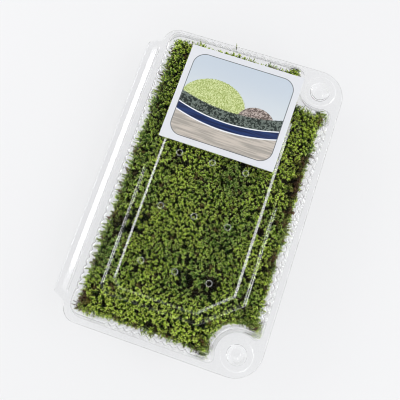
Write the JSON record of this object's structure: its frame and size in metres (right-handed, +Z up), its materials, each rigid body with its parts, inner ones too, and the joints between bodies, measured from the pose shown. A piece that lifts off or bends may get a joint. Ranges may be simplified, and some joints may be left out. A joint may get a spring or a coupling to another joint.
{
  "type": "moss clump in a clear hinged pack",
  "caption": "Mat of living green moss filling a clear, thin, fluted tray, shut under a raised clear lid that opens on a film hinge, with a small printed card lying on the lid.",
  "frame": {"origin": "middle of the pack's footprint, on the surface that the pack stands on", "axes": "+X across the pack, away from the hinge; +Y along the pack, towards the card; +Z up"},
  "size_m": [0.135, 0.205, 0.0408],
  "materials": {
    "moss_green": "matte",
    "tray_plastic": "gloss",
    "lid_plastic": "gloss",
    "card_paper": "satin"
  },
  "bodies": {
    "tray": {"tray": "tray_plastic", "moss_mat": "moss_green"},
    "lid": {"lid": "lid_plastic", "label_card": "card_paper"}
  },
  "joints": [
    {"name": "lid_hinge", "type": "hinge", "parent": "tray", "child": "lid", "pos_m": [-0.0678, 0, 0.02485], "axis": [0, -1, 0], "range_deg": [0, 180]}
  ]
}
